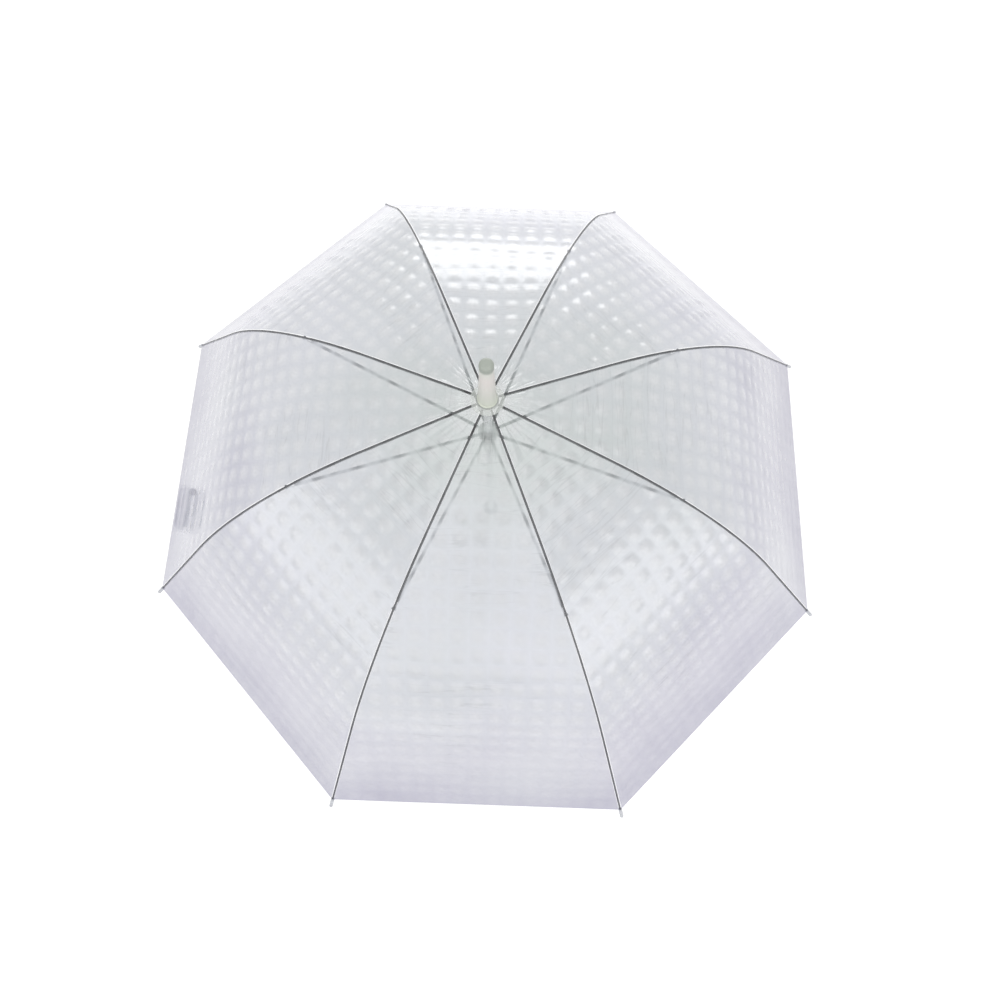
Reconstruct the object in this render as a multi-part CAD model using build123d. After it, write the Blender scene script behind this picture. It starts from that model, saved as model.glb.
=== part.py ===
# Stick umbrella with an eight-rib clear dome canopy, shown open.
# Millimetres. +Z runs up the shaft to the ferrule, and the origin is the hand's
# place on the shaft axis. +X is opposite the open side of the crook handle.
import os
from math import atan2, cos, degrees, hypot, pi, radians, sin, tan

from build123d import *

os.makedirs("parts", exist_ok=True)

# ---------------------------------------------------------------- dimensions
RIB_COUNT = 8
RIB_PITCH = 360.0 / RIB_COUNT
FIRST_AZIMUTH = 112.5  # rib 1; the others follow clockwise seen from above
HALF_GORE = RIB_PITCH / 2

NOTCH_Z = 620.0  # height of the rib pivots above the hand
HINGE_R = 9.5  # radius of both hinge wires
WIRE_R = 0.6
EYE_R = 1.7
EYE_HOLE_R = 0.68
TONGUE_W = 1.6
SLOT_W = 2.0

# rib: straight, bent, straight
RIB_SLOPE = 9.1
RIB_IN = 143.0
RIB_BEND_R = 412.0
RIB_BEND = 38.4
RIB_W_IN, RIB_W_OUT = 2.4, 2.0
RIB_TOP = 1.3
RIB_LOW_IN, RIB_LOW_OUT = -1.3, -0.8
RIB_SHEET = 0.5
RIB_STEP_S = 228.0
JOINT_S = 240.0
CHANNEL_S = 5.2

# stretcher
STRETCHER_W = 3.3
STRETCHER_HALF_H = 1.25
FORK_GAP_W = 2.3
FORK_LEN = 9.0
RIVET_R = 0.7
RIVET_HOLE_R = 0.76
RIVET_HEAD_R = 1.25
RIVET_HEAD_T = 0.7

# film canopy
FILM_GAP = 0.45
FILM_T = 0.3
FILM_START_R = 15.0
FILM_END_S = 580.5
SEAM_GAP = 0.15

# rib tip caps
TIP_R = 2.4
TIP_START_S = 581.0
TIP_END_S = 600.5

# shaft and hub
SHAFT_R, SHAFT_BORE_R = 5.0, 4.5
SHAFT_BOTTOM, SHAFT_TOP = 5.0, 660.0
NOTCH_DISC_R, NOTCH_HUB_R = 13.0, 7.4
ROSETTE_R, ROSETTE_T = 19.0, 0.9
FERRULE_BASE_R, FERRULE_END_R = 10.4, 7.6
FERRULE_TOP = 709.0
FERRULE_PIN_L = 20.0
FERRULE_DOME = 4.0

# runner
RUNNER_BORE_R, RUNNER_TAIL_R = 5.06, 7.5
RUNNER_UP, RUNNER_DOWN = 8.0, 60.0
WINDOW_LOW, WINDOW_HIGH = -47.0, -37.4

# handle
HANDLE_R = 9.5
CUP_R, CUP_BORE_R = 12.5, 8.0
HANDLE_TOP, CUP_DEPTH = 113.0, 12.5
COLLAR_R, COLLAR_H = 13.2, 4.0
CROOK_R = 27.0
CROOK_START_Z = -45.0
CROOK_END_Z = -20.0

# tie strap
STRAP_W, STRAP_L, STRAP_T = 38.0, 72.0, 0.6
STRAP_SHIFT, STRAP_HEM, STRAP_DROP = 37.0, 6.0, 45.0
SNAP_R = 5.5


# ------------------------------------------------------------------- helpers
def rib_point(s, off=0.0):
    """Radius, height and downward slope of the rib line at arc length s."""
    a0 = radians(RIB_SLOPE)
    arc_len = RIB_BEND_R * radians(RIB_BEND)
    x1 = HINGE_R + RIB_IN * cos(a0)
    z1 = -RIB_IN * sin(a0)
    cx, cz = x1 - RIB_BEND_R * sin(a0), z1 - RIB_BEND_R * cos(a0)
    if s <= RIB_IN:
        a, x, z = a0, HINGE_R + s * cos(a0), -s * sin(a0)
    elif s <= RIB_IN + arc_len:
        a = a0 + (s - RIB_IN) / RIB_BEND_R
        x, z = cx + RIB_BEND_R * sin(a), cz + RIB_BEND_R * cos(a)
    else:
        a = a0 + radians(RIB_BEND)
        d = s - RIB_IN - arc_len
        x = cx + RIB_BEND_R * sin(a) + d * cos(a)
        z = cz + RIB_BEND_R * cos(a) - d * sin(a)
    return x + off * sin(a), z + off * cos(a), a


def line_edges(s0, s1, off, squeeze=1.0):
    """Edges along the rib line from s0 to s1, offset upwards by off.

    With squeeze below 1 the radius is scaled, for the flat-chorded gores.
    """
    bends = [RIB_IN, RIB_IN + RIB_BEND_R * radians(RIB_BEND)]
    stops = [s0] + [b for b in bends if s0 + 0.01 < b < s1 - 0.01] + [s1]
    edges = []
    for a, b in zip(stops, stops[1:]):
        mid = (a + b) / 2
        curved = bends[0] < mid < bends[1]
        n = 8 if (curved and squeeze != 1.0) else 2 if curved else 1
        pts = []
        for k in range(n + 1):
            x, z, _ = rib_point(a + (b - a) * k / n, off)
            pts.append((x * squeeze, z))
        if n == 1:
            edges.append(Line(pts[0], pts[1]))
        elif n == 2:
            edges.append(ThreePointArc(*pts))
        else:
            ta, tb = rib_point(a)[2], rib_point(b)[2]
            edges.append(
                Spline(
                    *pts,
                    tangents=[(cos(ta) * squeeze, -sin(ta)), (cos(tb) * squeeze, -sin(tb))],
                )
            )
    return edges


def band(s0, s1, low, high, squeeze=1.0):
    """Face between two offsets of the rib line."""
    lower = line_edges(s0, s1, low, squeeze)
    upper = line_edges(s0, s1, high, squeeze)
    ends = [Line(lower[0] @ 0, upper[0] @ 0), Line(lower[-1] @ 1, upper[-1] @ 1)]
    return make_face(Wire(lower + upper + ends).edges())


def slab(face, width):
    """Stand a radius-height face upright and give it a width about the XZ plane."""
    return Rot(90, 0, 0) * extrude(face, amount=width / 2, both=True)


def cross_cylinder(x, z, radius, width):
    """Cylinder along Y, centred at radius x and height z."""
    return Pos(x, 0, z) * Rot(90, 0, 0) * Cylinder(radius, width)


def lathe(points):
    """Solid of revolution about Z from a radius-height outline."""
    face = make_face(Polyline(*points, close=True).edges())
    return revolve(Rot(90, 0, 0) * face, Axis.Z, 360)


def ring_wire(radius, wire_radius):
    return Torus(radius, wire_radius)


def azimuth(i):
    return FIRST_AZIMUTH - RIB_PITCH * i


def place(shape, i):
    return Rot(0, 0, azimuth(i)) * Pos(0, 0, NOTCH_Z) * shape


# ------------------------------------------------- linkage worked out by hand
JOINT_X, JOINT_Z, _ = rib_point(JOINT_S)
ARM = hypot(JOINT_X - HINGE_R, JOINT_Z)
ARM_SLOPE = degrees(atan2(-JOINT_Z, JOINT_X - HINGE_R))
RUNNER_Z = NOTCH_Z + 2 * JOINT_Z
TAIL_Z = RUNNER_Z - RUNNER_DOWN


# ---------------------------------------------------------------- one rib
def make_rib():
    rib_end = TIP_END_S - 9.0
    tongue = slab(band(0, 14, RIB_LOW_IN, RIB_TOP), TONGUE_W)
    tongue += cross_cylinder(HINGE_R, 0, EYE_R, TONGUE_W)
    inner = slab(band(CHANNEL_S, RIB_STEP_S, RIB_LOW_IN, RIB_TOP), RIB_W_IN)
    inner -= slab(
        band(CHANNEL_S + 1.2, RIB_STEP_S - 1.0, RIB_LOW_IN - 1, RIB_TOP - RIB_SHEET),
        RIB_W_IN - 2 * RIB_SHEET,
    )
    outer = slab(band(RIB_STEP_S - 2, rib_end, RIB_LOW_OUT, RIB_TOP), RIB_W_OUT)
    outer -= slab(
        band(JOINT_S + 5, rib_end + 1, RIB_LOW_OUT - 1, RIB_TOP - RIB_SHEET),
        RIB_W_OUT - 2 * RIB_SHEET,
    )
    body = tongue + inner + outer
    body -= cross_cylinder(HINGE_R, 0, EYE_HOLE_R, 6)
    body -= cross_cylinder(JOINT_X, JOINT_Z, RIVET_R, 6)
    return body


def make_tip():
    """Round cap pushed over the end of the rib."""
    x0, z0, a = rib_point(TIP_START_S, (RIB_TOP + RIB_LOW_OUT) / 2)
    length = TIP_END_S - TIP_START_S
    cap = Pos(0, 0, length / 2) * Cylinder(TIP_R, length)
    cap = fillet(cap.edges().group_by(Axis.Z)[-1], 1.6)
    cap = chamfer(cap.edges().group_by(Axis.Z)[0], 0.4)
    socket_l = length - 9.0
    cap -= Pos(0, 0, socket_l / 2) * Box(RIB_TOP - RIB_LOW_OUT, RIB_W_OUT, socket_l)
    return Pos(x0, 0, z0) * Rot(0, 90 + degrees(a), 0) * cap


def make_rivet():
    head_y = STRETCHER_W / 2 + 0.1
    pin = cross_cylinder(JOINT_X, JOINT_Z, RIVET_R, 2 * (head_y + RIVET_HEAD_T))
    for side in (-1, 1):
        head = cross_cylinder(JOINT_X, JOINT_Z, RIVET_HEAD_R, RIVET_HEAD_T)
        pin += Pos(0, side * (head_y + RIVET_HEAD_T / 2), 0) * head
    return pin


def make_stretcher():
    """U-section arm from the runner wire up to the rib joint, modelled along X."""
    h = STRETCHER_HALF_H
    body = Pos((CHANNEL_S + ARM) / 2, 0, 0) * Box(ARM - CHANNEL_S, STRETCHER_W, 2 * h)
    body += cross_cylinder(ARM, 0, h, STRETCHER_W)
    floor_l = ARM - FORK_LEN - CHANNEL_S - 1.4
    body -= Pos(CHANNEL_S + 1.4 + floor_l / 2, 0, RIB_SHEET) * Box(floor_l, FORK_GAP_W, 2 * h)
    body -= Pos(ARM - FORK_LEN + 10, 0, 0) * Box(20, FORK_GAP_W, 4 * h)
    body += Pos(7, 0, 0) * Box(14, TONGUE_W, 2 * h)
    body += cross_cylinder(0, 0, EYE_R, TONGUE_W)
    body -= cross_cylinder(0, 0, EYE_HOLE_R, 6)
    body -= cross_cylinder(ARM, 0, RIVET_HOLE_R, 8)
    return Pos(HINGE_R, 0, 2 * JOINT_Z) * Rot(0, -ARM_SLOPE, 0) * body


def make_panel():
    """Film from mid-gore to mid-gore over one rib; each half is flat across its chords."""
    low = RIB_TOP + FILM_GAP
    start_s = (FILM_START_R - HINGE_R) / cos(radians(RIB_SLOPE))
    profile = band(start_s, FILM_END_S, low, low + FILM_T, cos(radians(HALF_GORE)))
    strip = Rot(0, 0, HALF_GORE) * slab(profile, 520)
    t = tan(radians(HALF_GORE))
    shift = SEAM_GAP / sin(radians(HALF_GORE))
    wedge_face = make_face(Polyline((shift, 0), (700, 0), (700, (700 - shift) * t), close=True).edges())
    wedge = Pos(0, 0, -320) * extrude(wedge_face, amount=360)
    half = strip & wedge
    return half + mirror(half, Plane.XZ)


# ------------------------------------------------------------ fixed hub parts
def make_notch():
    body = lathe(
        [
            (SHAFT_R, -14), (NOTCH_HUB_R - 0.6, -14), (NOTCH_HUB_R, -13.4), (NOTCH_HUB_R, -2.4),
            (NOTCH_DISC_R, -2.4), (NOTCH_DISC_R, 2.4), (NOTCH_DISC_R - 0.6, 3.0), (SHAFT_R, 3.0),
        ]
    )
    inner_r, outer_r = HINGE_R - WIRE_R, HINGE_R + WIRE_R
    body -= lathe([(inner_r, -4), (outer_r, -4), (outer_r, WIRE_R), (inner_r, WIRE_R)])
    for i in range(RIB_COUNT):
        body -= Rot(0, 0, azimuth(i)) * Pos(7.6 + 4, 0, -1) * Box(8, SLOT_W, 6)
    return Pos(0, 0, NOTCH_Z) * body


def make_rosette():
    top, edge = 3.0, 1.0
    t = ROSETTE_T
    body = lathe(
        [
            (SHAFT_R, top), (13.2, top), (ROSETTE_R, edge), (ROSETTE_R, edge + t),
            (13.2, top + t), (SHAFT_R, top + t),
        ]
    )
    return Pos(0, 0, NOTCH_Z) * body


def make_ferrule():
    z0 = NOTCH_Z + 3.0 + ROSETTE_T
    z1 = FERRULE_TOP - FERRULE_PIN_L
    e = FERRULE_DOME
    dome = [
        (FERRULE_END_R - e + e * cos(radians(t)), FERRULE_TOP - e + e * sin(radians(t)))
        for t in range(0, 91, 15)
    ]
    body = lathe(
        [
            (0, SHAFT_TOP), (SHAFT_R, SHAFT_TOP), (SHAFT_R, z0), (FERRULE_BASE_R + 0.8, z0),
            (FERRULE_BASE_R + 0.8, z0 + 2.0), (FERRULE_BASE_R, z0 + 3.0), (FERRULE_END_R, z1),
            *dome, (0, FERRULE_TOP),
        ]
    )
    return body


# --------------------------------------------------------------------- runner
def make_runner():
    body = lathe(
        [
            (RUNNER_BORE_R, -RUNNER_DOWN), (RUNNER_TAIL_R - 0.8, -RUNNER_DOWN),
            (RUNNER_TAIL_R, -RUNNER_DOWN + 0.8), (RUNNER_TAIL_R, -26), (RUNNER_TAIL_R + 1.5, -24),
            (RUNNER_TAIL_R + 1.5, -20), (RUNNER_TAIL_R, -18), (RUNNER_TAIL_R, -11),
            (NOTCH_DISC_R, -5), (NOTCH_DISC_R, 2.4), (NOTCH_HUB_R, 2.4), (NOTCH_HUB_R, RUNNER_UP - 0.6),
            (NOTCH_HUB_R - 0.6, RUNNER_UP), (RUNNER_BORE_R, RUNNER_UP),
        ]
    )
    inner_r, outer_r = HINGE_R - WIRE_R, HINGE_R + WIRE_R
    body -= lathe([(inner_r, -WIRE_R), (outer_r, -WIRE_R), (outer_r, 4), (inner_r, 4)])
    for i in range(RIB_COUNT):
        body -= Rot(0, 0, azimuth(i)) * Pos(7.6 + 4, 0, 1) * Box(8, SLOT_W, 6.4)
    window_h = WINDOW_HIGH - WINDOW_LOW
    body -= Pos(6.5, 0, (WINDOW_HIGH + WINDOW_LOW) / 2) * Box(5, 3.2, window_h)
    return Pos(0, 0, RUNNER_Z) * body


# ---------------------------------------------------------------------- shaft
TOP_CATCH_Z = TAIL_Z - 0.2
CLOSE_TURN = 60.0
RUNNER_LOW_Z = NOTCH_Z - 2 * ARM * sin(radians(ARM_SLOPE + CLOSE_TURN))
BOTTOM_CATCH_Z = RUNNER_LOW_Z + WINDOW_LOW + 1.2
STOP_Z = RUNNER_Z + RUNNER_UP + 1.3


def make_catch(z, flat_on_top):
    """Leaf spring in the bore, with a wedge through the shaft's slot and a round foot."""
    sign = 1 if flat_on_top else -1
    leaf_in, leaf_out, reach = 3.1, 3.9, 7.2
    pts = [
        (leaf_in, 0), (reach, 0), (reach, -1.2 * sign), (leaf_out, -9 * sign),
        (leaf_out, -40 * sign), (leaf_in, -40 * sign),
    ]
    face = make_face(Polyline(*pts, close=True).edges())
    leaf = slab(face, 2.0)
    foot = Pos(0, 0, -42 * sign) * Cylinder(SHAFT_BORE_R, 4)
    return Pos(0, 0, z) * (leaf + foot)


def make_shaft():
    body = Pos(0, 0, (SHAFT_BOTTOM + SHAFT_TOP) / 2) * (
        Cylinder(SHAFT_R, SHAFT_TOP - SHAFT_BOTTOM) - Cylinder(SHAFT_BORE_R, SHAFT_TOP)
    )
    body -= Pos(5.5, 0, TOP_CATCH_Z - 4.6) * Box(4, 2.4, 10.4)
    body -= Pos(5.5, 0, BOTTOM_CATCH_Z + 4.6) * Box(4, 2.4, 10.4)
    body -= cross_cylinder(0, STOP_Z, 1.0, 20)
    return body


# --------------------------------------------------------------------- handle
def make_handle():
    centre_x = -CROOK_R
    grip_l = HANDLE_TOP - CROOK_START_Z
    grip = Pos(0, 0, CROOK_START_Z + grip_l / 2) * Cylinder(HANDLE_R, grip_l)
    cup = lathe(
        [
            (0, 70), (HANDLE_R, 70), (HANDLE_R + 0.6, 80), (CUP_R, 97), (CUP_R, HANDLE_TOP), (0, HANDLE_TOP),
        ]
    )
    bend_face = Pos(0, 0, CROOK_START_Z) * Circle(HANDLE_R)
    bend = revolve(bend_face, Axis((centre_x, 0, CROOK_START_Z), (0, 1, 0)), 180)
    if bend.bounding_box().max.Z > CROOK_START_Z + HANDLE_R:
        bend = revolve(bend_face, Axis((centre_x, 0, CROOK_START_Z), (0, -1, 0)), 180)
    tail_l = CROOK_END_Z - CROOK_START_Z
    tail = Pos(2 * centre_x, 0, CROOK_START_Z + tail_l / 2) * Cylinder(HANDLE_R, tail_l)
    tail = fillet(tail.edges().group_by(Axis.Z)[-1], 6.0)
    body = grip + cup + bend + tail
    body -= Pos(0, 0, (SHAFT_BOTTOM + 200) / 2) * Cylinder(SHAFT_R, 200 - SHAFT_BOTTOM)
    body -= Pos(0, 0, HANDLE_TOP - CUP_DEPTH + 20) * Cylinder(CUP_BORE_R, 40)
    return body


def make_collar():
    z0, z1 = HANDLE_TOP, HANDLE_TOP + COLLAR_H
    return lathe([(CUP_BORE_R, z0), (COLLAR_R, z0), (COLLAR_R, z1 - 1), (COLLAR_R - 1, z1), (CUP_BORE_R, z1)])


# ------------------------------------------------------------------ tie strap
STRAP_RIB = 6  # counted from zero; the rib after the strap's gore


def on_strap(shape):
    """Carry a shape from the strap's own frame, with X up its width to the weld, to the model."""
    x, z, _ = rib_point(FILM_END_S - STRAP_HEM, RIB_TOP + FILM_GAP)
    top = Pos(x * cos(radians(HALF_GORE)), STRAP_SHIFT, z - 1.0) * Rot(0, -STRAP_DROP, 0)
    return Rot(0, 0, azimuth(STRAP_RIB) - HALF_GORE) * Pos(0, 0, NOTCH_Z) * top * shape


def make_strap():
    """Strap of the same film, welded beside the hem and hanging inwards under the canopy."""
    return on_strap(Pos(-STRAP_W / 2, STRAP_L / 2, 0) * Box(STRAP_W, STRAP_L, STRAP_T))


def make_snap():
    under = -STRAP_T / 2
    disc = Pos(-STRAP_W / 2, 9, under - 0.6) * Cylinder(SNAP_R, 1.2)
    disc += Pos(-STRAP_W / 2, 9, under - 1.6) * Cylinder(SNAP_R * 0.45, 1.2)
    return on_strap(disc)


# ---------------------------------------------------------------------- write
def save(name, shape):
    solids = shape.solids()
    shape = solids[0] if len(solids) == 1 else Compound(solids)
    shape.label = name
    export_step(shape, f"parts/{name}.step")


save("shaft", make_shaft())
save("stop_pin", cross_cylinder(0, STOP_Z, 1.0, 13))
save("top_catch", make_catch(TOP_CATCH_Z, True))
save("bottom_catch", make_catch(BOTTOM_CATCH_Z, False))
save("top_notch", make_notch())
save("notch_wire", Pos(0, 0, NOTCH_Z) * ring_wire(HINGE_R, WIRE_R))
save("rosette", make_rosette())
save("ferrule", make_ferrule())
save("runner", make_runner())
save("runner_wire", Pos(0, 0, RUNNER_Z) * ring_wire(HINGE_R, WIRE_R))
save("handle", make_handle())
save("handle_collar", make_collar())
save("tie_strap", make_strap())
save("strap_snap", make_snap())

MAKERS = [
    ("rib", make_rib()),
    ("rib_tip", make_tip()),
    ("rib_rivet", make_rivet()),
    ("stretcher", make_stretcher()),
    ("canopy_panel", make_panel()),
]
for i in range(RIB_COUNT):
    for name, shape in MAKERS:
        save(f"{name}_{i + 1}", place(shape, i))

print("joint", JOINT_X, JOINT_Z, "arm", ARM, "slope", ARM_SLOPE)
print("runner", RUNNER_Z, "low", RUNNER_LOW_Z, "stop", STOP_Z, "catches", TOP_CATCH_Z, BOTTOM_CATCH_Z)
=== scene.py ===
from math import atan2, cos, degrees, floor, pi, radians, sin, sqrt

import bpy
from mathutils import Matrix, Vector, noise


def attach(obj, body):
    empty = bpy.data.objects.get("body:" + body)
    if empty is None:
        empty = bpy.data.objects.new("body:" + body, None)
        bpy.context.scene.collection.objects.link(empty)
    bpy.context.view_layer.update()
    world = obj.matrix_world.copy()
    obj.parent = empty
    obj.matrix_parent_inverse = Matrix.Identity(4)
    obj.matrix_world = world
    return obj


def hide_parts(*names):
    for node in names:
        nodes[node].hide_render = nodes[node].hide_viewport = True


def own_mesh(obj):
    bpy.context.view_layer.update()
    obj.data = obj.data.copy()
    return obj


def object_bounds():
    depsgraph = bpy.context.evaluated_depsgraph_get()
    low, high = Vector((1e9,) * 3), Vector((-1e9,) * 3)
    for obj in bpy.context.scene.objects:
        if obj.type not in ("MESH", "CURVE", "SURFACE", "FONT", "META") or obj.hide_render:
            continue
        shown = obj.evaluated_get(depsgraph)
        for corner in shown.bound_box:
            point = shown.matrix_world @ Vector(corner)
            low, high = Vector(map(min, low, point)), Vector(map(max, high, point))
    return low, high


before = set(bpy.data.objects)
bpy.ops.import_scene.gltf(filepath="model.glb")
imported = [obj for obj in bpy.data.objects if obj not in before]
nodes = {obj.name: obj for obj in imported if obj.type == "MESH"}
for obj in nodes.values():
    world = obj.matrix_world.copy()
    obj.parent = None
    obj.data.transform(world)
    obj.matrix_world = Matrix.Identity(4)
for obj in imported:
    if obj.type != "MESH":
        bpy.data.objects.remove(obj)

cad_low, cad_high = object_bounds()
MM = 0.001

# ---------------------------------------------------------------- dimensions
# Lengths are in millimetres and become metres with MM.
RIB_COUNT = 8
RIB_PITCH = 45.0  # degrees between ribs
FIRST_AZIMUTH = 112.5  # degrees; the ribs go round clockwise seen from above
HALF = radians(RIB_PITCH / 2)
NOTCH_Z = 620.0  # the ribs' pivots on the notch wire
HINGE_R = 9.5
# A rib is straight for RIB_IN, bends at radius RIB_BEND_R through RIB_BEND, and ends straight.
RIB_SLOPE, RIB_IN, RIB_BEND_R, RIB_BEND = radians(9.1), 143.0, 412.0, radians(38.4)
FILM_OFF = 1.9  # middle of the film above the rib line
FILM_START_R, FILM_END_S = 15.0, 580.5
RIM_Z = 351.1  # height of the hem's corners

# Pressed pattern: cells CELL_U wide and CELL_S long, with pillows EMBOSS high.
CELL_U, CELL_S = 23.0, 22.0
EMBOSS = 1.3
DRIFT_U, DRIFT_S = 0.13, 0.16  # how far the rows wander, in cells
HEM_RIPPLES, RIPPLE_BLEND = 70.0, 120.0  # depth of plain ripples by the hem, and their blend inwards
CALM_RIB, CALM_HEM, CALM_HUB = 8.0, (6.0, 25.0), (26.0, 40.0)  # flat beside ribs, hem and hub
FOLD_HEIGHT, FOLD_END, FOLD_BLEND = 1.6, 75.0, 45.0  # folds that fan out from the hub
RUCK_HEIGHT, RUCK_END, RUCK_BLEND = 2.2, 44.0, 24.0  # film bunched at the hub
ROWS, COLUMNS = 190, 60  # faces from hub to hem, and from a rib to the middle of a gore

# Tie strap: a piece STRAP_W deep and STRAP_L along the hem of rib 7's gore.
STRAP_W, STRAP_L, STRAP_SHIFT, STRAP_HEM = 38.0, 72.0, 37.0, 6.0
STRAP_RIB, STRAP_DROP = 6, radians(45.0)
STRAP_COLUMNS, STRAP_ROWS = 90, 30
STRAP_GAP, STRAP_RIDGE, STRAP_RAGGED, STRAP_WAVE = 0.5, 0.9, 2.2, 0.8

# ---------------------------------------------------------------------- looks
FILM_ALPHA = 0.74
HEM_TINT, MID_TINT, HUB_TINT = (0.285, 0.278, 0.365), (0.425, 0.435, 0.475), (0.345, 0.375, 0.368)
WORLD_LIGHT = 0.74


def azimuth(i):
    return radians(FIRST_AZIMUTH - RIB_PITCH * i)


def rib_point(s, off=0.0):
    """Radius, height over the rib pivot and downward slope of the rib line at arc length s."""
    arc = RIB_BEND_R * RIB_BEND
    x1, z1 = HINGE_R + RIB_IN * cos(RIB_SLOPE), -RIB_IN * sin(RIB_SLOPE)
    cx, cz = x1 - RIB_BEND_R * sin(RIB_SLOPE), z1 - RIB_BEND_R * cos(RIB_SLOPE)
    if s <= RIB_IN:
        a, x, z = RIB_SLOPE, HINGE_R + s * cos(RIB_SLOPE), -s * sin(RIB_SLOPE)
    elif s <= RIB_IN + arc:
        a = RIB_SLOPE + (s - RIB_IN) / RIB_BEND_R
        x, z = cx + RIB_BEND_R * sin(a), cz + RIB_BEND_R * cos(a)
    else:
        a = RIB_SLOPE + RIB_BEND
        d = s - RIB_IN - arc
        x = cx + RIB_BEND_R * sin(a) + d * cos(a)
        z = cz + RIB_BEND_R * cos(a) - d * sin(a)
    return x + off * sin(a), z + off * cos(a), a


def smooth(x):
    """Ease from 0 at x = 0 to 1 at x = 1."""
    x = max(0.0, min(1.0, x))
    return x * x * (3 - 2 * x)


# ------------------------------------------------------------------- materials
class Mat:
    """A Principled material with a few shorthands for procedural detail."""

    def __init__(self, name, color, rough, metallic=0.0, **sockets):
        self.m = bpy.data.materials.new(name)
        self.m.use_nodes = True
        self.n = self.m.node_tree.nodes
        self.l = self.m.node_tree.links
        self.b = self.n["Principled BSDF"]
        self.b.inputs["Base Color"].default_value = (*color, 1)
        self.b.inputs["Roughness"].default_value = rough
        self.b.inputs["Metallic"].default_value = metallic
        for k, v in sockets.items():
            self.b.inputs[k.replace("_", " ")].default_value = v
        self.m.diffuse_color = (*color, 1)

    def node(self, kind, **props):
        n = self.n.new(kind)
        for k, v in props.items():
            setattr(n, k, v)
        return n

    def noise(self, scale, detail=3.0, rough=0.55):
        """Noise fixed to the object."""
        t = self.node("ShaderNodeTexNoise")
        t.inputs["Scale"].default_value = scale
        t.inputs["Detail"].default_value = detail
        t.inputs["Roughness"].default_value = rough
        self.l.new(self.node("ShaderNodeTexCoord").outputs["Object"], t.inputs["Vector"])
        return t.outputs["Fac"]

    def ramp(self, value, stops):
        """Colour that follows a value through (position, colour) stops."""
        r = self.node("ShaderNodeValToRGB")
        e = r.color_ramp.elements
        while len(e) > 1:
            e.remove(e[-1])
        e[0].position = stops[0][0]
        e[0].color = (*stops[0][1], 1)
        for p, c in stops[1:]:
            k = e.new(p)
            k.color = (*c, 1)
        self.l.new(value, r.inputs["Fac"])
        return r.outputs["Color"]

    def remap(self, value, low, high, a=0.0, b=1.0):
        """Map a..b to low..high, held at either end."""
        r = self.node("ShaderNodeMapRange")
        r.inputs["From Min"].default_value = a
        r.inputs["From Max"].default_value = b
        r.inputs["To Min"].default_value = low
        r.inputs["To Max"].default_value = high
        self.l.new(value, r.inputs["Value"])
        return r.outputs["Result"]

    def math(self, op, *values):
        """A Math node on sockets and plain numbers."""
        m = self.node("ShaderNodeMath", operation=op)
        for k, v in enumerate(values):
            if isinstance(v, (int, float)):
                m.inputs[k].default_value = v
            else:
                self.l.new(v, m.inputs[k])
        return m.outputs[0]

    def to(self, value, socket):
        self.l.new(value, self.b.inputs[socket])

    def bump(self, height, strength, distance):
        bp = self.node("ShaderNodeBump")
        bp.inputs["Strength"].default_value = strength
        bp.inputs["Distance"].default_value = distance
        self.l.new(height, bp.inputs["Height"])
        self.to(bp.outputs["Normal"], "Normal")


def plastic(name, low, high, rough, scale=30.0, **sockets):
    """Moulded plastic: faint mottled colour, fine grain and a slightly uneven polish."""
    m = Mat(name, low, rough, **sockets)
    m.to(m.ramp(m.noise(scale, 4.0), [(0.3, low), (0.7, high)]), "Base Color")
    m.to(m.remap(m.noise(scale * 4, 2.0), rough - 0.06, rough + 0.1), "Roughness")
    m.bump(m.noise(900.0, 2.0), 0.12, 0.0004)
    return m.m


def ferrule_material():
    """Milky plastic, a little pink along the body, with painted shade making its domed end a darker
    green-grey.
    """
    m = Mat("ferrule_plastic", (0.6, 0.6, 0.57), 0.34)
    tc = m.node("ShaderNodeTexCoord")
    sep = m.node("ShaderNodeSeparateXYZ")
    m.l.new(tc.outputs["Object"], sep.inputs[0])
    up = m.math("ADD", sep.outputs[2], m.remap(m.noise(30.0), -0.003, 0.003))
    # Colour up the ferrule's height; the last, darkest stop is painted shade on the domed end.
    tone_and_end_shade = m.ramp(
        m.remap(up, 0.0, 1.0, 0.622, 0.709),
        [
            (0.0, (0.53, 0.56, 0.48)),
            (0.35, (0.57, 0.57, 0.53)),
            (0.70, (0.63, 0.59, 0.57)),
            (0.86, (0.58, 0.58, 0.54)),
            (0.92, (0.29, 0.315, 0.28)),
        ],
    )
    m.to(tone_and_end_shade, "Base Color")
    m.to(m.remap(m.noise(120.0, 2.0), 0.28, 0.42), "Roughness")
    return m.m


def steel(name, low, high, rough, metallic):
    """Bare or blackened steel with an uneven polish."""
    m = Mat(name, low, rough, metallic)
    m.to(m.ramp(m.noise(55.0, 5.0, 0.6), [(0.35, low), (0.75, high)]), "Base Color")
    m.to(m.remap(m.noise(240.0, 3.0), rough - 0.1, rough + 0.14), "Roughness")
    m.bump(m.noise(700.0, 3.0), 0.15, 0.0003)
    return m.m


rib_steel = steel("rib_steel", (0.018, 0.018, 0.020), (0.055, 0.056, 0.060), 0.38, 0.15)
stretcher_steel = steel("stretcher_steel", (0.10, 0.105, 0.11), (0.24, 0.245, 0.25), 0.36, 0.5)
rivet_steel = steel("rivet_steel", (0.11, 0.11, 0.115), (0.26, 0.26, 0.27), 0.32, 0.8)
wire_steel = steel("wire_steel", (0.42, 0.42, 0.43), (0.62, 0.62, 0.63), 0.28, 0.95)
spring_steel = steel("spring_steel", (0.22, 0.23, 0.25), (0.40, 0.41, 0.43), 0.30, 0.95)
shaft_white = plastic("shaft_white", (0.74, 0.75, 0.76), (0.80, 0.81, 0.81), 0.22, 18.0, Coat_Weight=0.4)
rosette_plastic = plastic(
    "rosette_plastic", (0.56, 0.59, 0.56), (0.66, 0.68, 0.66), 0.16, 30.0, Alpha=0.35
)
ferrule_plastic = ferrule_material()
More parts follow.
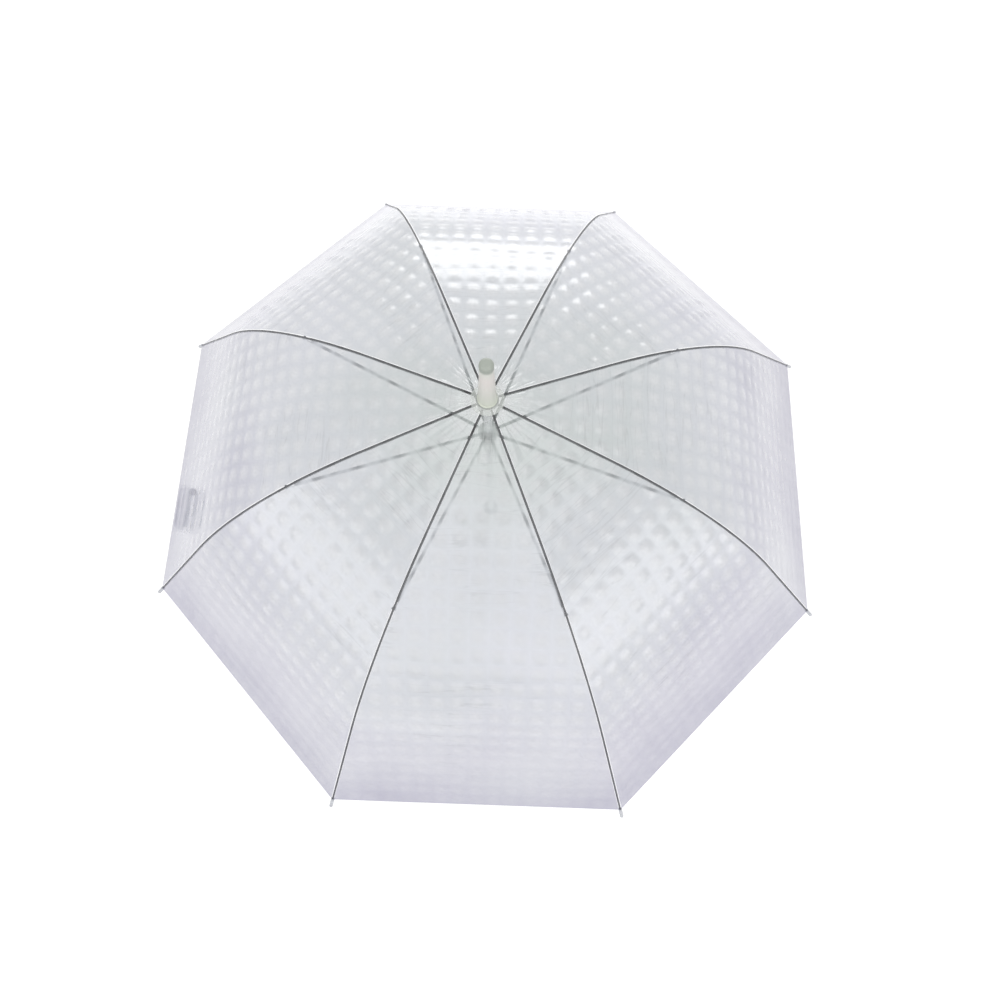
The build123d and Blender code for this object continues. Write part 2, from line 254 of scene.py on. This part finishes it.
hub_plastic = plastic("hub_plastic", (0.50, 0.51, 0.51), (0.58, 0.59, 0.58), 0.38, 60.0)
runner_plastic = plastic("runner_plastic", (0.40, 0.40, 0.395), (0.52, 0.52, 0.505), 0.34, 60.0)
tip_plastic = plastic("tip_plastic", (0.33, 0.34, 0.37), (0.44, 0.45, 0.48), 0.26, 80.0)
handle_plastic = plastic(
    "handle_plastic", (0.68, 0.69, 0.64), (0.76, 0.76, 0.72), 0.20, 14.0, Coat_Weight=0.35
)


def split_uv(m, layer):
    """The two values that a mesh stores in one of its UV layers."""
    uv = m.node("ShaderNodeUVMap", uv_map=layer)
    sep = m.node("ShaderNodeSeparateXYZ")
    m.l.new(uv.outputs["UV"], sep.inputs[0])
    return sep.outputs[0], sep.outputs[1]


def uv_noise(m, u, v, scale_u, scale_v, detail):
    """Noise stretched along one way of the film."""
    both = m.node("ShaderNodeCombineXYZ")
    m.l.new(m.math("MULTIPLY", u, scale_u), both.inputs[0])
    m.l.new(m.math("MULTIPLY", v, scale_v), both.inputs[1])
    t = m.node("ShaderNodeTexNoise")
    t.inputs["Scale"].default_value = 1.0
    t.inputs["Detail"].default_value = detail
    m.l.new(both.outputs[0], t.inputs["Vector"])
    return t.outputs["Fac"]


def blend(p, q, share):
    """A colour that takes this share of p and the rest of q."""
    return tuple(share * x + (1 - share) * y for x, y in zip(p, q))


def film_material():
    """Hazy clear film: lavender at the hem, greenish by the hub, clear where it touches a rib."""
    m = Mat("film", (0.43, 0.44, 0.46), 0.2, IOR=1.75)
    u, v = split_uv(m, "cells")
    to_rib, to_hem = split_uv(m, "edges")

    patchy = m.remap(m.noise(4.0, 2.0), -0.22, 0.22, 0.25, 0.75)
    tint = m.ramp(
        m.math("ADD", m.remap(to_hem, 0.0, 1.0, 0.0, 0.56), patchy),
        [
            (0.02, HEM_TINT),
            (0.22, blend(HEM_TINT, MID_TINT, 0.6)),
            (0.45, MID_TINT),
            (0.75, blend(HUB_TINT, MID_TINT, 0.5)),
            (0.98, HUB_TINT),
        ],
    )

    # Fine creases along the film, in patches and away from the hem, with painted shade darkening the
    # colour along them.
    streak = uv_noise(m, u, v, 0.16, 1.9, 2.0)
    off_crease = m.math("ABSOLUTE", m.math("SUBTRACT", streak, 0.5))
    crease = m.remap(off_crease, 0.84, 1.0, 0.0, 0.018)
    patches = m.remap(m.noise(9.0, 2.0), 0.0, 1.0, 0.46, 0.56)
    where = m.math("MULTIPLY", patches, m.remap(to_hem, 0.0, 1.0, 0.04, 0.12))
    crease_shade = m.math("SUBTRACT", 1.0, m.math("MULTIPLY", m.math("SUBTRACT", 1.0, crease), where))

    def wave(x):
        half_cosine = m.math("MULTIPLY", m.math("COSINE", m.math("MULTIPLY", x, 2 * pi)), 0.5)
        return m.math("ADD", half_cosine, 0.5)

    # Between the cells the film is both hazier and lighter, so it looks even over a plain
    # ground and breaks up the outline of whatever lies under it.
    inside = m.remap(to_hem, 0.25, 1.0, 0.10, 0.22)
    pillow = m.math("MULTIPLY", wave(u), wave(v))
    between = m.math("SUBTRACT", 1.0, m.math("POWER", pillow, 0.6))
    weld = m.math("MULTIPLY", between, inside)
    cloudy = m.remap(m.noise(18.0, 3.0), -0.03, 0.03, 0.3, 0.7)
    haze = m.math("ADD", m.remap(weld, FILM_ALPHA - 0.08, FILM_ALPHA + 0.16), cloudy)
    # Base colour lifted between the cells and darkened by the painted crease shade.
    light = m.math("MULTIPLY", m.remap(weld, 0.94, 1.11), crease_shade)
    shade = m.node("ShaderNodeMix", data_type="RGBA", blend_type="MULTIPLY")
    shade.inputs[0].default_value = 1.0
    m.l.new(tint, shade.inputs[6])
    m.l.new(light, shade.inputs[7])
    m.to(shade.outputs[2], "Base Color")

    clear = m.remap(to_rib, 0.20, 1.0, 0.0012, 0.0026)
    by_hub = m.remap(to_hem, 1.0, 0.62, 0.50, 0.555)
    by_hem = m.remap(to_hem, 1.14, 1.0, 0.015, 0.10)
    along = m.math("MULTIPLY", by_hub, by_hem)
    m.to(m.math("MULTIPLY", m.math("MULTIPLY", haze, clear), along), "Alpha")
    m.to(m.remap(m.noise(60.0, 3.0), 0.17, 0.29), "Roughness")
    m.to(m.remap(to_hem, 0.22, 0.5, 0.03, 0.15), "Specular IOR Level")
    grain = m.math("ADD", streak, m.math("MULTIPLY", m.noise(300.0, 2.0), 0.05))
    m.bump(grain, 0.20, 0.0010)
    return m.m


def strap_material():
    """The same film in several layers, gathered: a bluish film colour, with dark streaks painted along
    the gathers as shade in its folds.
    """
    m = Mat("strap_film", (0.34, 0.38, 0.44), 0.25, IOR=1.6)
    u, v = split_uv(m, "cells")
    deep, to_end = split_uv(m, "edges")
    streak = uv_noise(m, u, v, 1.1, 0.22, 3.0)
    # The darkest stops are painted shade in the folds; the lightest is the film's own bluish colour.
    tint = m.ramp(
        streak,
        [(0.38, (0.13, 0.19, 0.27)), (0.47, (0.38, 0.42, 0.50)), (0.55, (0.54, 0.54, 0.62))],
    )
    m.to(tint, "Base Color")
    thick = m.remap(streak, 0.90, 0.26, 0.38, 0.52)
    body = m.math("MULTIPLY", thick, m.remap(deep, 1.0, 0.45, 0.010, 0.038))
    ragged = m.math("ADD", to_end, m.remap(streak, -0.006, 0.006, 0.35, 0.65))
    m.to(m.math("MULTIPLY", body, m.remap(ragged, 0.12, 1.0, 0.0, 0.009)), "Alpha")
    m.bump(streak, 0.5, 0.001)
    return m.m


film = film_material()
strap_film = strap_material()

ROOT_MATERIALS = {
    "shaft": shaft_white,
    "stop_pin": wire_steel,
    "top_catch": spring_steel,
    "bottom_catch": spring_steel,
    "top_notch": hub_plastic,
    "notch_wire": wire_steel,
    "rosette": rosette_plastic,
    "ferrule": ferrule_plastic,
    "handle": handle_plastic,
    "handle_collar": runner_plastic,
    "runner": runner_plastic,
    "runner_wire": wire_steel,
    "strap_snap": tip_plastic,
}
FAMILY = {
    "rib_tip": tip_plastic,
    "rib_rivet": rivet_steel,
    "stretcher": stretcher_steel,
    "rib": rib_steel,
}


def paint(obj, mat):
    """Give a piece one material all over."""
    if not obj.material_slots:
        obj.data.materials.append(mat)
    for s in obj.material_slots:
        s.material = mat


for name, obj in nodes.items():
    mat = ROOT_MATERIALS.get(name) or FAMILY.get(name.rsplit("_", 1)[0])
    if mat:
        paint(obj, mat)


def add_mesh(name, verts, faces, mat, body, uvs):
    """A smooth mesh piece that rides on a body, with a pair of values per vertex in each UV layer."""
    me = bpy.data.meshes.new(name)
    me.from_pydata([Vector(v) * MM for v in verts], [], faces)
    for layer, values in uvs.items():
        uv = me.uv_layers.new(name=layer)
        for loop in me.loops:
            uv.data[loop.index].uv = values[loop.vertex_index]
    me.materials.append(mat)
    me.validate()
    for p in me.polygons:
        p.use_smooth = True
    ob = bpy.data.objects.new(name, me)
    bpy.context.collection.objects.link(ob)
    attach(ob, body)
    return ob


def draw_in(ob):
    """Give a piece its own copy of its mesh."""
    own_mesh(ob)


# ---------------------------------------------------------------- film canopy

def film_lines():
    """For each row, in the section through the middle of a gore: run along the film, distance
    out, half the gore's width, height over the pivots and downward slope."""
    s0 = (FILM_START_R - HINGE_R) / cos(RIB_SLOPE)
    rows, run, last = [], 0.0, None
    for j in range(ROWS + 1):
        s = s0 + (FILM_END_S - s0) * j / ROWS
        x, z, a = rib_point(s, FILM_OFF)
        d, h = x * cos(HALF), x * sin(HALF)
        if last:
            run += sqrt((d - last[0]) ** 2 + (z - last[1]) ** 2)
        last = (d, z)
        rows.append((run, d, h, z, atan2(sin(a), cos(a) * cos(HALF))))
    return rows


LINES = film_lines()
FILM_RUN = LINES[-1][0]


def grain_at(x, y, z):
    """Smooth noise, from about -1 to 1."""
    return noise.noise(Vector((x, y, z)))


def cell_at(gore, t, run):
    """Place in the pressed pattern, in cells across and down the gore, a little wavy as film is."""
    x, y, z = t * 0.014, run * 0.014, gore * 3.3
    a = t / CELL_U + DRIFT_U * grain_at(x, y, z)
    b = (FILM_RUN - run) / CELL_S + DRIFT_S * grain_at(x + 7.0, y + 2.0, z)
    return a, b


def emboss(gore, t, run, to_rib):
    """Height of the pressed cells: soft pillows inside, long ripples by the hem, folds at the hub."""
    a, b = cell_at(gore, t, run)
    to_hem = FILM_RUN - run
    own = grain_at(round(a) * 1.7 + 0.4, floor(b) * 1.3 + 0.2, gore * 5.1 + 0.7)
    soft = grain_at(t * 0.011, run * 0.011, 3.7 + gore)
    waves = grain_at(t * 0.012, run * 0.10, 9.1 + gore)
    ripple = sin(pi * b) ** 2
    pillow = cos(pi * a) ** 2 * ripple * (1.0 + 0.9 * own)
    inner = smooth((to_hem - HEM_RIPPLES) / RIPPLE_BLEND)
    body = inner * pillow * (0.9 + 0.6 * soft) + (1 - inner) * ripple * (0.17 + 0.24 * waves)
    calm = smooth(to_rib / CALM_RIB)
    calm *= smooth((to_hem - CALM_HEM[0]) / CALM_HEM[1]) * smooth((run - CALM_HUB[0]) / CALM_HUB[1])

    folds = smooth(to_rib / 2.0) * smooth(run / 8.0) * smooth((FOLD_END - run) / FOLD_BLEND)
    crinkle = abs(grain_at(t / (run + 12.0) * 9.0, run * 0.02, 5.5 + gore))
    bunched = smooth(run / 5.0) * smooth((RUCK_END - run) / RUCK_BLEND)
    ruck = bunched * grain_at(t * 0.05, run * 0.13, 7.5 + gore)
    return calm * EMBOSS * body + folds * FOLD_HEIGHT * crinkle + RUCK_HEIGHT * ruck


def petal(i):
    """Film over rib i, out to the middle of the gore on each side."""
    verts, cells, edges, index = [], [], [], {}
    for side in (1, -1):
        g = azimuth(i) + side * HALF
        gore = round(degrees(g) / RIB_PITCH) % RIB_COUNT
        out = Vector((cos(g), sin(g), 0))
        across = Vector((sin(g), -cos(g), 0)) * side
        for j, (run, d, h, z, slope) in enumerate(LINES):
            for k in range(COLUMNS + 1):
                if k == COLUMNS and side == -1:  # both halves share the line over the rib
                    index[side, j, k] = index[1, j, k]
                    continue
                u = h * k / COLUMNS
                to_rib = (h - u) * cos(HALF)
                e = emboss(gore, u * side, run, to_rib)
                up = Vector((0, 0, NOTCH_Z + z + e * cos(slope)))
                index[side, j, k] = len(verts)
                verts.append(out * (d + e * sin(slope)) + across * u + up)
                a, b = cell_at(gore, u * side, run)
                cells.append((a + 100.0, b + 0.5))
                edges.append((to_rib * MM, (FILM_RUN - run) * MM))
    faces, area = [], 0.0
    for side in (1, -1):
        for j in range(ROWS):
            (r0, _, h0, _, _), (r1, _, h1, _, _) = LINES[j], LINES[j + 1]
            area += (h0 + h1) / 2 * (r1 - r0)
            for k in range(COLUMNS):
                corners = (j, k), (j + 1, k), (j + 1, k + 1), (j, k + 1)
                q = [index[(side, *c)] for c in corners]
                faces.append(q if side == -1 else q[::-1])
    name, uvs = f"canopy_film_{i + 1}", {"cells": cells, "edges": edges}
    ob = add_mesh(name, verts, faces, film, f"rib_{i + 1}", uvs)
    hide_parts(f"canopy_panel_{i + 1}")
    draw_in(ob)


for i in range(RIB_COUNT):
    petal(i)

# ----------------------------------------------------------------- tie strap
def strap_sheet(top, across, inward, normal):
    """Both layers of the doubled strap and the fold between them: points, UV values and faces."""
    verts, cells, edges, faces = [], [], [], []
    for layer, side in ((0, -1), (1, 1)):
        for j in range(STRAP_ROWS + 1):
            v = STRAP_L * j / STRAP_ROWS
            for k in range(STRAP_COLUMNS + 1):
                w = STRAP_W * k / STRAP_COLUMNS
                ease = smooth(w / 4.0)
                ridge = STRAP_RIDGE * grain_at(w * 0.33, v * 0.012, 2.0 + layer) * ease
                ragged = STRAP_RAGGED * grain_at(v * 0.08, 4.0, 1.0 + layer) * smooth(w / STRAP_W)
                lift = side * STRAP_GAP + ridge + STRAP_WAVE * sin(v * 0.06) * ease
                place = top + across * (STRAP_SHIFT + v) + inward * (w - abs(ragged) * 0.5)
                verts.append(place + normal * lift)
                cells.append((w / 6.0 + 40.0 + layer * 7.0, v / 40.0))
                edges.append((w * MM, min(v, STRAP_L - v) * MM))
    row = STRAP_COLUMNS + 1
    base = (STRAP_ROWS + 1) * row
    for j in range(STRAP_ROWS):
        for k in range(STRAP_COLUMNS):
            q = [j * row + k, j * row + k + 1, (j + 1) * row + k + 1, (j + 1) * row + k]
            faces.append(q)
            faces.append([base + n for n in q[::-1]])
    for j in range(STRAP_ROWS):
        faces.append([j * row, (j + 1) * row, base + (j + 1) * row, base + j * row])
    return verts, faces, {"cells": cells, "edges": edges}


def tie_strap():
    """One piece of film doubled over at the weld beside the hem, hanging inwards in two layers."""
    x, z, _ = rib_point(FILM_END_S - STRAP_HEM, FILM_OFF - 0.15)
    g = azimuth(STRAP_RIB) - HALF
    out, across = Vector((cos(g), sin(g), 0)), Vector((-sin(g), cos(g), 0))
    inward = -out * cos(STRAP_DROP) - Vector((0, 0, sin(STRAP_DROP)))
    normal = Vector((0, 0, cos(STRAP_DROP))) - out * sin(STRAP_DROP)
    top = out * (x * cos(HALF)) + Vector((0, 0, NOTCH_Z + z - 1.0))
    verts, faces, uvs = strap_sheet(top, across, inward, normal)
    body = f"rib_{STRAP_RIB + 1}"
    ob = add_mesh("tie_strap_film", verts, faces, strap_film, body, uvs)
    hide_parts("tie_strap")
    draw_in(ob)


def strap_stud():
    """The snap on the strap, which draws in with the strap as the umbrella closes."""
    source = nodes["strap_snap"]
    me = source.data.copy()
    me.transform(source.matrix_world)
    ob = bpy.data.objects.new("strap_snap_stud", me)
    bpy.context.collection.objects.link(ob)
    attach(ob, f"rib_{STRAP_RIB + 1}")
    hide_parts("strap_snap")
    draw_in(ob)


tie_strap()
strap_stud()

# --------------------------------------------------------------- stage, light
FLOOR_SIZE, FLOOR_GAP = 14, 0.002  # metres
FLOOR_WHITE = (0.93, 0.93, 0.93)


def floor_material():
    """Matt white with hardly any mottle."""
    m = Mat("floor_white", FLOOR_WHITE, 0.6)
    lighter = tuple(min(1.0, c * 1.01) for c in FLOOR_WHITE)
    m.to(m.ramp(m.noise(1.5, 2.0), [(0.3, FLOOR_WHITE), (0.7, lighter)]), "Base Color")
    return m.m


bpy.ops.mesh.primitive_plane_add(size=FLOOR_SIZE, location=(0, 0, cad_low.z - FLOOR_GAP))
ground = bpy.context.object
ground.name = "floor"
ground.data.materials.append(floor_material())

world = bpy.data.worlds.new("world")
bpy.context.scene.world = world
world.use_nodes = True
background = world.node_tree.nodes["Background"]
background.inputs[0].default_value = (1.0, 1.0, 1.0, 1)
background.inputs[1].default_value = WORLD_LIGHT


def softbox(name, direction, distance, size, power):
    """A rectangular light that faces the canopy from this direction, in metres and watts."""
    light = bpy.data.lights.new(name, "AREA")
    light.shape = "RECTANGLE"
    light.size, light.size_y = size
    light.energy = power
    ob = bpy.data.objects.new(name, light)
    d = Vector(direction).normalized()
    ob.location = LIGHT_TARGET + d * distance
    ob.rotation_mode = "QUATERNION"
    ob.rotation_quaternion = (-d).to_track_quat("-Z", "Y")
    bpy.context.collection.objects.link(ob)
    ob.visible_camera = False


def aim(az, el):
    """Direction from an azimuth and an elevation in degrees."""
    a, e = radians(az), radians(el)
    return cos(a) * cos(e), sin(a) * cos(e), sin(e)


LIGHT_TARGET = Vector((0, 0, 0.5))
softbox("back", aim(90, 17), 2.4, (1.7, 1.1), 25)
softbox("top", (0.0, 0.0, 1.0), 3.2, (2.6, 2.6), 26)
softbox("front", aim(-90, 40), 3.4, (5.0, 3.2), 41)
softbox("left", aim(-150, 26), 2.1, (1.3, 1.2), 8.0)
softbox("right", aim(-38, 26), 2.1, (1.1, 1.2), 8.5)

# --------------------------------------------------------------------- camera
TILT, ROLL, SPIN = 0.2466, -0.0263, -0.0089
OFFSET = Vector((-0.0155, 0.0435, -0.9571))  # middle of the hem seen from the camera, metres
LENS, SENSOR = 22.92, 36.0
turn = Matrix.Rotation(ROLL, 3, "Z") @ Matrix.Rotation(-TILT, 3, "X") @ Matrix.Rotation(SPIN, 3, "Z")
cam_data = bpy.data.cameras.new("camera")
cam = bpy.data.objects.new("camera", cam_data)
bpy.context.collection.objects.link(cam)
cam_data.sensor_width = SENSOR
cam_data.lens = LENS
cam_data.clip_start, cam_data.clip_end = 0.05, 50
place = (turn.transposed()).to_4x4()
place.translation = -(turn.transposed() @ OFFSET) + Vector((0, 0, RIM_Z * MM))
cam.matrix_world = place
bpy.context.scene.camera = cam

bpy.context.scene.view_settings.view_transform = "Standard"
bpy.context.scene.view_settings.look = "None"
